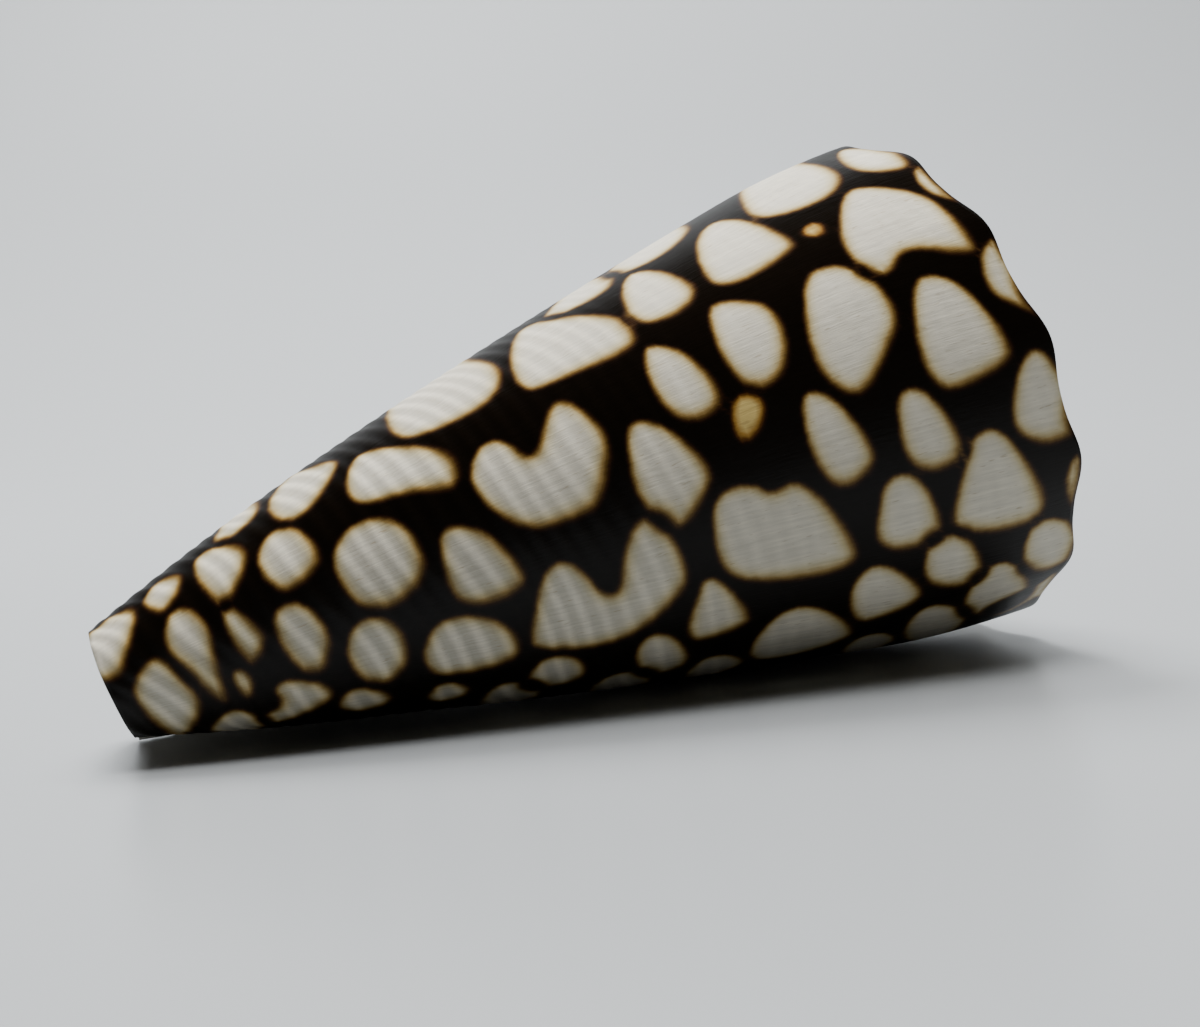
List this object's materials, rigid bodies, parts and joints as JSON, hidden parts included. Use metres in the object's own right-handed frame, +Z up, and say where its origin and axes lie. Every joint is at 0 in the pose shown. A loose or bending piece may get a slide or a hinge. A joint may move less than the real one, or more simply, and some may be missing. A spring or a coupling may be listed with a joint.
{
  "type": "cone shell",
  "caption": "Cone-shaped sea snail shell with a knobbed shoulder, a low spire, a narrow mouth and white rounded triangles on a dark net.",
  "frame": {"origin": "centre of the bounding box at the level of the surface that the shell lies on", "axes": "+X along the ground under the shell's axis, towards the spire; +Z up; the mouth faces down and towards -Y"},
  "size_m": [0.0866, 0.0526, 0.0491],
  "materials": {
    "shell_porcelain": "glossy natural polish"
  },
  "bodies": {
    "root": {"shell": "shell_porcelain"}
  },
  "joints": []
}
